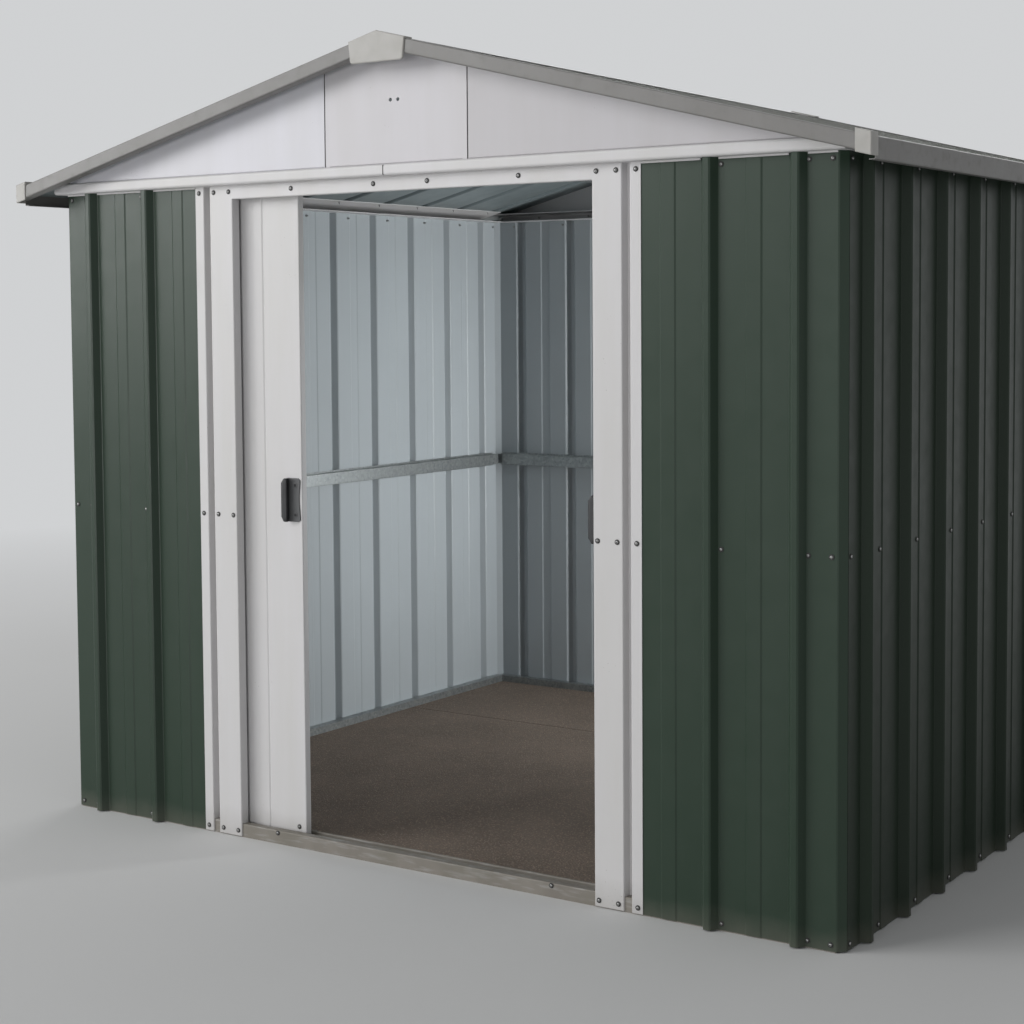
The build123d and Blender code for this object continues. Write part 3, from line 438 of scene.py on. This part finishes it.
class Forms:
    """Turned and flat-sided forms collected into one mesh."""

    def __init__(self):
        self.mesh = bmesh.new()

    def turned(self, outline, place, axis, look=0, segments=16):
        """Outline of (radius, height) pairs turned about an axis; it ends on the axis."""
        turn = Vector(UP).rotation_difference(Vector(axis)).to_matrix()
        rings = []
        for radius, height in outline[:-1]:
            ring = []
            for i in range(segments):
                angle = 2 * math.pi * i / segments
                point = Vector((radius * math.cos(angle), radius * math.sin(angle), height))
                ring.append(self.mesh.verts.new(turn @ point + Vector(place)))
            rings.append(ring)
        tip = self.mesh.verts.new(turn @ Vector((0, 0, outline[-1][1])) + Vector(place))
        self.skin(rings, look)
        for i in range(segments):
            self.mesh.faces.new((rings[-1][i], rings[-1][(i + 1) % segments], tip)).material_index = look
        self.mesh.faces.new(rings[0][::-1]).material_index = look

    def cross(self, place, axis, turn, arm, width, low, high, look=0):
        """Small raised cross, turned about the axis."""
        face = Vector(UP).rotation_difference(Vector(axis)).to_matrix()
        face = face @ Matrix.Rotation(turn, 3, "Z")
        w = width / 2
        corners = [(arm, w), (w, w), (w, arm), (-w, arm), (-w, w), (-arm, w)]
        corners += [(-x, -y) for x, y in corners]
        sections = []
        for height in (low, high):
            sections.append([face @ Vector((x, y, height)) + Vector(place) for x, y in corners])
        self.loft(sections, look)

    def loft(self, sections, look=0):
        """Skin over sections with as many corners each, closed at both ends."""
        rings = [[self.mesh.verts.new(point) for point in section] for section in sections]
        self.skin(rings, look)
        self.mesh.faces.new(rings[0][::-1]).material_index = look
        self.mesh.faces.new(rings[-1]).material_index = look

    def skin(self, rings, look):
        """Four-sided faces between rings with as many corners each."""
        for low, high in zip(rings, rings[1:]):
            for i in range(len(low)):
                j = (i + 1) % len(low)
                self.mesh.faces.new((low[i], low[j], high[j], high[i])).material_index = look

    def piece(self, name, body, looks, slot):
        """Makes an object of the forms, which rides on a body."""
        mesh = bpy.data.meshes.new(name)
        bmesh.ops.recalc_face_normals(self.mesh, faces=self.mesh.faces[:])
        self.mesh.to_mesh(mesh)
        self.mesh.free()
        for look in looks:
            mesh.materials.append(look)
        mesh.polygons.foreach_set("use_smooth", [True] * len(mesh.polygons))
        mesh.set_sharp_from_angle(angle=SMOOTH_BELOW)
        obj = bpy.data.objects.new(name, mesh)
        bpy.context.scene.collection.objects.link(obj)
        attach(obj, body)
        return obj


# Outlines of the fasteners: radius, and height above the sheet
WASHER = [(0.0058, -0.0004), (0.0062, 0.0004), (0.0060, 0.0012), (0.0051, 0.0014), (0.0, 0.0014)]
HEAD = [(0.0034, 0.0010), (0.0034, 0.0020), (0.0030, 0.0029), (0.0021, 0.0034), (0.0, 0.0036)]
NUT = [(0.0040, -0.0002), (0.0040, 0.0026), (0.0, 0.0026)]
SHANK = [(0.0017, 0.0), (0.0017, 0.0075), (0.0012, 0.0083), (0.0, 0.0083)]
CROSS = {"arm": 0.0017, "width": 0.0007, "low": 0.0031, "high": 0.00365}
TURN_RATES = (37.0, 91.0, 53.0)      # radians a metre, which turn no two crosses alike
NUT_SIDES = 6
SHANK_SIDES = 8
SCREW_LOOKS = [rubber, steel]
BLACK, BRIGHT = 0, 1

# Places of the screws; the front, jamb and header columns stand on both sides of the middle
SCREW_LEVELS = (0.0166, 0.8267, 1.641)
SCREW_FROM_RIB = 0.0275              # from the middle of a rib, towards -x or -y
SCREW_FROM_CORNER = 0.0289           # along the side walls
FRONT_COLUMNS = (0.846, 1.048, 1.1005)
JAMB_COLUMNS = (0.5396, 0.590, 0.640)
HEADER_COLUMNS = (0.0794, 0.3348)
RAIL_COLUMNS = (-1.121, -0.964, -0.759, -0.36, 0.0, 0.36, 0.759, 0.964, 1.121)
RAIL_LEVEL = 1.670
SILL_COLUMNS = (-0.41, 0.41)
SILL_LEVEL = 0.028
ROOF_RUNS = (0.150, 0.610, 1.080)    # level, from the ridge
DOOR_COLUMNS = (0.023, 0.285, 0.547)     # from the leading edge
DOOR_LEVEL = 0.024                   # above the foot of the leaf


def screw(forms, place, axis):
    """Rubber washer under a domed head, with a dark cross turned its own way."""
    forms.turned(WASHER, place, axis, BLACK)
    forms.turned(HEAD, place, axis, BRIGHT)
    turn = sum(along * rate for along, rate in zip(place, TURN_RATES)) % math.pi
    forms.cross(place, axis, turn, **CROSS, look=BLACK)


def screw_end(forms, place, axis):
    """Nut and the end of the screw on the inside of a sheet."""
    forms.turned(NUT, place, axis, BRIGHT, NUT_SIDES)
    forms.turned(SHANK, place, axis, BRIGHT, SHANK_SIDES)


def screw_pieces(heads, ends, name):
    """The heads and the ends of some of the shell's screws."""
    heads.piece(f"screws_{name}", "shell", SCREW_LOOKS, "zinc")
    ends.piece(f"screw_ends_{name}", "shell", SCREW_LOOKS, "zinc")


def rib_places(length):
    """Places of a wall's ribs, from its middle."""
    count = int(length // RIB_PITCH)
    return [(i - (count - 1) / 2) * RIB_PITCH for i in range(count)]


def front_screws():
    """Rows of screws through the front wall, the jambs and the header."""
    heads = Forms()
    ends = Forms()
    for side in (-1, 1):
        for z in SCREW_LEVELS:
            for x in FRONT_COLUMNS:
                screw(heads, (side * x, -WALL_Y, z), OUT["front"])
                if z > SCREW_LEVELS[0]:
                    screw_end(ends, (side * x, -WALL_Y + GAUGE, z), IN["front"])
            for x in JAMB_COLUMNS:
                screw(heads, (side * x, -WALL_Y - GAUGE, z), OUT["front"])
        for x in HEADER_COLUMNS:
            screw(heads, (side * x, -WALL_Y - GAUGE, SCREW_LEVELS[2]), OUT["front"])
    screw_pieces(heads, ends, "front")


def wall_screws():
    """Rows of screws up the side and back walls, beside their ribs."""
    for name, side in (("left", -1), ("right", 1)):
        heads = Forms()
        ends = Forms()
        first = -WALL_Y + SCREW_FROM_CORNER
        for y in [first] + [rib - SCREW_FROM_RIB for rib in rib_places(2 * WALL_Y)] + [-first]:
            for z in SCREW_LEVELS:
                screw(heads, (side * WALL_X, y, z), OUT[name])
                if z > SCREW_LEVELS[0]:
                    screw_end(ends, (side * (WALL_X - GAUGE), y, z), IN[name])
        screw_pieces(heads, ends, name)
    heads = Forms()
    ends = Forms()
    for x in [rib - SCREW_FROM_RIB for rib in rib_places(2 * WALL_X)] + [FRONT_COLUMNS[-1]]:
        for z in SCREW_LEVELS:
            screw(heads, (x, WALL_Y, z), OUT["back"])
            if z > SCREW_LEVELS[0]:
                screw_end(ends, (x, WALL_Y - GAUGE, z), IN["back"])
    screw_pieces(heads, ends, "back")


def rail_screws():
    """Screws through the faces of the back eave rail and of the threshold."""
    heads = Forms()
    ends = Forms()
    for x in RAIL_COLUMNS:
        screw(heads, (x, RAIL_FACE, RAIL_LEVEL), OUT["back"])
        screw_end(ends, (x, RAIL_FACE - GAUGE, RAIL_LEVEL), IN["back"])
    for x in SILL_COLUMNS:
        screw(heads, (x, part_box("base_rail_front")[0].y, SILL_LEVEL), OUT["front"])
    screw_pieces(heads, ends, "rails")


def roof_screws():
    """Rows of screws along the ridge, the purlins and the eaves."""
    for name, side in (("left", -1), ("right", 1)):
        heads = Forms()
        ends = Forms()
        up = Vector((side * math.sin(ROOF_SLOPE), 0, math.cos(ROOF_SLOPE)))
        for rib in rib_places(2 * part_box("roof_right")[1].y):
            for run in ROOF_RUNS:
                place = Vector((side * run, rib - SCREW_FROM_RIB, ROOF_TOP - run * math.tan(ROOF_SLOPE)))
                screw(heads, place, up)
                screw_end(ends, place - up * GAUGE, -up)
        screw_pieces(heads, ends, f"roof_{name}")


def door_screws(door, leading, inward):
    """Screws through the foot of a door; inward is the way from its leading edge."""
    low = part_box(f"{door}_door_leaf")[0]
    heads = Forms()
    for along in DOOR_COLUMNS:
        screw(heads, (leading + inward * along, low.y, low.z + DOOR_LEVEL), OUT["front"])
    heads.piece(f"screws_{door}_door", f"{door}_door", SCREW_LOOKS, "zinc")


# Lips and dark seam beads, in metres
# Across a lip: distance out from the pans of the wall, and height from the rail's underside
LIP_SECTION = [(0.0022, 0.0), (0.0036, 0.0), (0.0036, -0.0036), (0.0032, -0.0042), (0.0022, -0.0042)]
LIP_FROM_CORNER = 0.017
LIP_FROM_JAMB = 0.0005
SEAM_CLEARANCE = 0.0003      # between the dark beads and the sheets
JOINT_WIDTH = 0.0024
JOINT_DEPTH = 0.0015


def lip_between(forms, x0, x1, side):
    """Stretch of lip in front of a wall; side is -1 at the front and 1 at the back."""
    sections = []
    for x in (x0, x1):
        sections.append([(x, side * (WALL_Y + out), LIP_TOP + rise) for out, rise in LIP_SECTION])
    forms.loft(sections)


def rail_lips():
    """Lips turned down from the eave rails over the pans of a wall, cut away at each rib."""
    ribs = rib_places(2 * WALL_X)
    corner = WALL_X - LIP_FROM_CORNER
    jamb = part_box("door_jamb_right")[1].x + LIP_FROM_JAMB
    front = Forms()
    back = Forms()
    stops = [-corner] + [rib + edge for rib in ribs for edge in (-RIB_HALF, RIB_HALF)] + [corner]
    for start, end in zip(stops[::2], stops[1::2]):
        lip_between(back, start, end, 1)
        for low, high in ((start, min(end, -jamb)), (max(start, jamb), end)):
            if high - low > RIB_HALF:
                lip_between(front, low, high, -1)
    front.piece("rail_lip_front", "shell", [white], "white")
    back.piece("rail_lip_back", "shell", [white], "white")


def upright_bead(forms, x0, x1, y0, y1, z0, z1):
    """Upright square-edged bead between two opposite corners."""
    corners = [(x0, y0), (x1, y0), (x1, y1), (x0, y1)]
    forms.loft([[(x, y, z) for x, y in corners] for z in (z0, z1)])


def seam_beads():
    """Dark beads in the grooves beside the middle gable sheet and in the joint of the front rail, which
    make these lines dark.
    """
    beads = Forms()
    low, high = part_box("gable_front_centre")
    start = high.x + SEAM_CLEARANCE
    end = high.x + SEAM_GAP - SEAM_CLEARANCE
    near = low.y + GAUGE / 2
    far = low.y + SEAM_DEPTH - SEAM_CLEARANCE
    foot = low.z + SEAM_CLEARANCE
    top = ROOF_UNDERSIDE - end * math.tan(ROOF_SLOPE) - SEAM_CLEARANCE
    upright_bead(beads, start, end, near, far, foot, top)
    upright_bead(beads, -end, -start, near, far, foot, top)
    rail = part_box("eave_rail_front")[0]
    start = RAIL_JOINT - JOINT_WIDTH / 2
    end = RAIL_JOINT + JOINT_WIDTH / 2
    near = rail.y - SEAM_CLEARANCE
    far = rail.y + JOINT_DEPTH
    upright_bead(beads, start, end, near, far, rail.z + RAIL_BEND / 2, low.z - RAIL_BEND / 2)
    beads.piece("seam_beads", "shell", [rubber], "handle_plastic")


rail_lips()
seam_beads()
front_screws()
wall_screws()
rail_screws()
roof_screws()
door_screws("left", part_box("left_door_leaf")[1].x, -1)
door_screws("right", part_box("right_door_leaf")[0].x, 1)


# Handles, in metres
PULL_INSET = 0.005           # of the grip's outer side from the edge of the CAD handle
GRIP_BEVEL = 0.0115
GRIP_BEVEL_HEIGHT = 0.0125
# Across the grip: distance from its outer side, and depth as a share of the whole
GRIP_SECTION = [
    (0.0, 0.0), (0.0, 0.70), (0.0016, 0.87), (0.0052, 0.98), (0.0090, 1.0), (0.0140, 0.98),
    (0.0178, 0.90), (0.0190, 0.80), (0.0186, 0.66), (0.0150, 0.60), (0.0128, 0.50), (0.0124, 0.0),
]
# Along the grip from one end: distance, share of the width past the bevel, and share of the depth
GRIP_STATIONS = [
    (0.0, 0.0, 0.84), (0.0012, 0.11, 0.95), (0.0032, 0.29, 1.0), (GRIP_BEVEL_HEIGHT, 1.0, 1.0),
]
PLATE = 0.003                # its thickness
PLATE_START = 0.010          # of its hidden edge, from the grip's outer side
PLATE_STEPS = 24
PLATE_CORNER = 0.006
PLATE_WAIST = 0.0035         # how far its free edge is drawn in
PLATE_CHAMFER = 0.0008
BOSS = [(0.0068, -0.0004), (0.0064, 0.0010), (0.0052, 0.0012), (0.0, 0.0012)]
BOSS_HEIGHT = 0.0012
BOSS_SIDES = 24
BOSS_FROM_EDGE = 0.0150
BOSS_FROM_MIDDLE = 0.0370
HEAD_FLAT = [(0.0036, -0.0002), (0.0036, 0.0006), (0.0028, 0.0013), (0.0015, 0.0016), (0.0, 0.0017)]
CROSS_FLAT = {"arm": 0.0018, "width": 0.0007, "low": 0.0010, "high": 0.00175}
CROSS_FLAT_TURN = 0.6
SOFT_EDGE = 0.0004
GRIP, FACE = 0, 1


def grip_sections(low, high, depth):
    """Sections of the grip from its foot to its top, bevelled towards both ends."""
    stations = [(low.z + far, width, share) for far, width, share in GRIP_STATIONS]
    stations += [(high.z - far, width, share) for far, width, share in reversed(GRIP_STATIONS)]
    for z, width, share in stations:
        section = []
        for along, out in GRIP_SECTION:
            if along < GRIP_BEVEL:
                along = GRIP_BEVEL - (GRIP_BEVEL - along) * width
            section.append((low.x + along, high.y - out * share * depth, z))
        yield section


def plate_sections(low, high):
    """Plate with rounded outer corners, its free edge drawn in half way up."""
    height = high.z - low.z
    left = low.x + PLATE_START
    face = high.y - PLATE
    for i in range(PLATE_STEPS + 1):
        share = i / PLATE_STEPS
        z = low.z + share * height
        end = min(share, 1 - share) * height
        rounded = PLATE_CORNER - math.sqrt(PLATE_CORNER ** 2 - max(0.0, PLATE_CORNER - end) ** 2)
        drawn = PLATE_WAIST * math.sin(math.pi * share) ** 2
        right = high.x - rounded - drawn
        yield [
            (left, high.y, z), (right, high.y, z), (right, face + PLATE_CHAMFER, z),
            (right - PLATE_CHAMFER, face, z), (left, face, z),
        ]


def pull(door):
    """Moulded pull: a screwed plate beside a hollowed grip that the fingers hook behind."""
    node = f"{door}_door_handle"
    low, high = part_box(node)
    low.x += PULL_INSET
    forms = Forms()
    forms.loft(list(grip_sections(low, high, high.y - low.y)), GRIP)
    forms.loft(list(plate_sections(low, high)), FACE)
    middle = (low.z + high.z) / 2
    heads = Forms()
    for side in (-1, 1):
        place = (high.x - BOSS_FROM_EDGE, high.y - PLATE, middle + side * BOSS_FROM_MIDDLE)
        forms.turned(BOSS, place, OUT["front"], FACE, BOSS_SIDES)
        spot = (place[0], place[1] - BOSS_HEIGHT, place[2])
        heads.turned(HEAD_FLAT, spot, OUT["front"])
        heads.cross(spot, OUT["front"], CROSS_FLAT_TURN + side, **CROSS_FLAT)
    # The plate is painted lighter than the grip of the same moulding: painted light
    looks = [handle_plastic, lit_plate_plastic]
    piece = forms.piece(f"{door}_door_pull", f"{door}_door", looks, "handle_plastic")
    edges = piece.modifiers.new("soft_edges", "BEVEL")
    edges.width = SOFT_EDGE
    edges.segments = 2
    edges.limit_method = "ANGLE"
    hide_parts(node)
    heads.piece(f"{door}_pull_screws", f"{door}_door", [black_steel], "zinc")


pull("left")
pull("right")


# Light, floor and camera
def lamp(name, place, target, size, power, tint=(1, 1, 1), spread=180):
    """Rectangular lamp that the camera doesn't see; spread is in degrees."""
    data = bpy.data.lights.new(name, "AREA")
    data.shape = "RECTANGLE"
    data.size, data.size_y = size
    data.energy = power
    data.color = tint
    data.spread = math.radians(spread)
    obj = bpy.data.objects.new(name, data)
    bpy.context.scene.collection.objects.link(obj)
    obj.location = place
    obj.rotation_mode = "QUATERNION"
    obj.rotation_quaternion = (Vector(target) - Vector(place)).to_track_quat("-Z", "Y")
    obj.visible_camera = False


def seen_or_mirrored(tree):
    """One for the rays that come from the camera, straight, mirrored or through glass."""
    rays = tree.nodes.new("ShaderNodeLightPath")
    seen = rays.outputs["Is Camera Ray"]
    for kind in ("Is Glossy Ray", "Is Transmission Ray"):
        either = tree.nodes.new("ShaderNodeMath")
        either.operation = "MAXIMUM"
        tree.links.new(seen, either.inputs[0])
        tree.links.new(rays.outputs[kind], either.inputs[1])
        seen = either.outputs[0]
    return seen


def backdrop_world():
    """Even light from all round, with a plain pale backdrop wherever it is seen or mirrored."""
    world = bpy.data.worlds.new("studio")
    bpy.context.scene.world = world
    world.use_nodes = True
    tree = world.node_tree
    tree.nodes.clear()
    seen = seen_or_mirrored(tree)
    light = tree.nodes.new("ShaderNodeBackground")
    light.inputs["Color"].default_value = (*AMBIENT, 1)
    shown = tree.nodes.new("ShaderNodeBackground")
    shown.inputs["Color"].default_value = (*BACKDROP, 1)
    both = tree.nodes.new("ShaderNodeMixShader")
    tree.links.new(seen, both.inputs[0])
    tree.links.new(light.outputs[0], both.inputs[1])
    tree.links.new(shown.outputs[0], both.inputs[2])
    output = tree.nodes.new("ShaderNodeOutputWorld")
    tree.links.new(both.outputs[0], output.inputs["Surface"])


def studio_floor():
    """Pale floor that runs out into the tone of the backdrop, so that no horizon shows."""
    shader = Shader("studio_floor", roughness=0.9)
    shader.colour(shader.mix(shader.noise(scale=0.8), FLOOR_PALE, FLOOR_PALER))
    shader.bump(shader.noise(scale=120), distance=0.0005, strength=0.4)
    tree = shader.tree
    length = tree.nodes.new("ShaderNodeVectorMath")
    length.operation = "LENGTH"
    tree.links.new(shader.point, length.inputs[0])
    far = shader.spread(length.outputs["Value"], *FLOOR_FADE)
    far = shader.math("MULTIPLY", far, seen_or_mirrored(tree))
    glow = tree.nodes.new("ShaderNodeEmission")
    glow.inputs["Color"].default_value = (*BACKDROP, 1)
    both = tree.nodes.new("ShaderNodeMixShader")
    tree.links.new(far, both.inputs[0])
    tree.links.new(shader.surface.outputs["BSDF"], both.inputs[1])
    tree.links.new(glow.outputs[0], both.inputs[2])
    tree.links.new(both.outputs[0], shader.output.inputs["Surface"])
    mesh = bpy.data.meshes.new("studio_floor")
    form = bmesh.new()
    bmesh.ops.create_circle(form, cap_ends=True, segments=96, radius=FLOOR_RADIUS)
    form.to_mesh(mesh)
    form.free()
    mesh.materials.append(shader.material)
    obj = bpy.data.objects.new("studio_floor", mesh)
    bpy.context.scene.collection.objects.link(obj)


def photograph_camera():
    """Camera that sees the shed as the photograph does."""
    data = bpy.data.cameras.new("camera")
    data.sensor_width = SENSOR
    data.lens = FOCAL_PIXELS / IMAGE_PIXELS * SENSOR
    data.shift_x = SHIFT_X
    data.shift_y = SHIFT_Y
    obj = bpy.data.objects.new("camera", data)
    bpy.context.scene.collection.objects.link(obj)
    turn = Matrix.Rotation(math.radians(CAMERA_TURN), 4, "Z")
    tilt = Matrix.Rotation(math.radians(90 - CAMERA_TILT), 4, "X")
    roll = Matrix.Rotation(math.radians(CAMERA_ROLL), 4, "Z")
    obj.matrix_world = Matrix.Translation(CAMERA_PLACE) @ turn @ tilt @ roll
    bpy.context.scene.camera = obj


backdrop_world()
studio_floor()
lamp("key", place=(-6.5, -9.0, 5.5), target=(0, -1, 1), size=(6.0, 6.0), power=505)
lamp("low_front", place=(1.2, -9.5, 0.9), target=(0.0, -1.0, 1.2), size=(3.2, 1.6), power=108)
lamp("low_side", place=(-7.45, -5.6, 2.6), target=(-0.6, -1.0, 1.4), size=(3.0, 2.6), power=155)
lamp("rear", place=(-3.0, 9.5, 4.5), target=(0, 1, 1), size=(6.0, 6.0), power=300)
lamp(
    "inside_fill", place=(0.85, 0.88, 0.9), target=(-1.0, 0.35, 0.9), size=(0.3, 1.3), power=16,
    tint=(0.97, 0.99, 1.0), spread=120,
)
photograph_camera()
bpy.context.scene.view_settings.view_transform = "Standard"
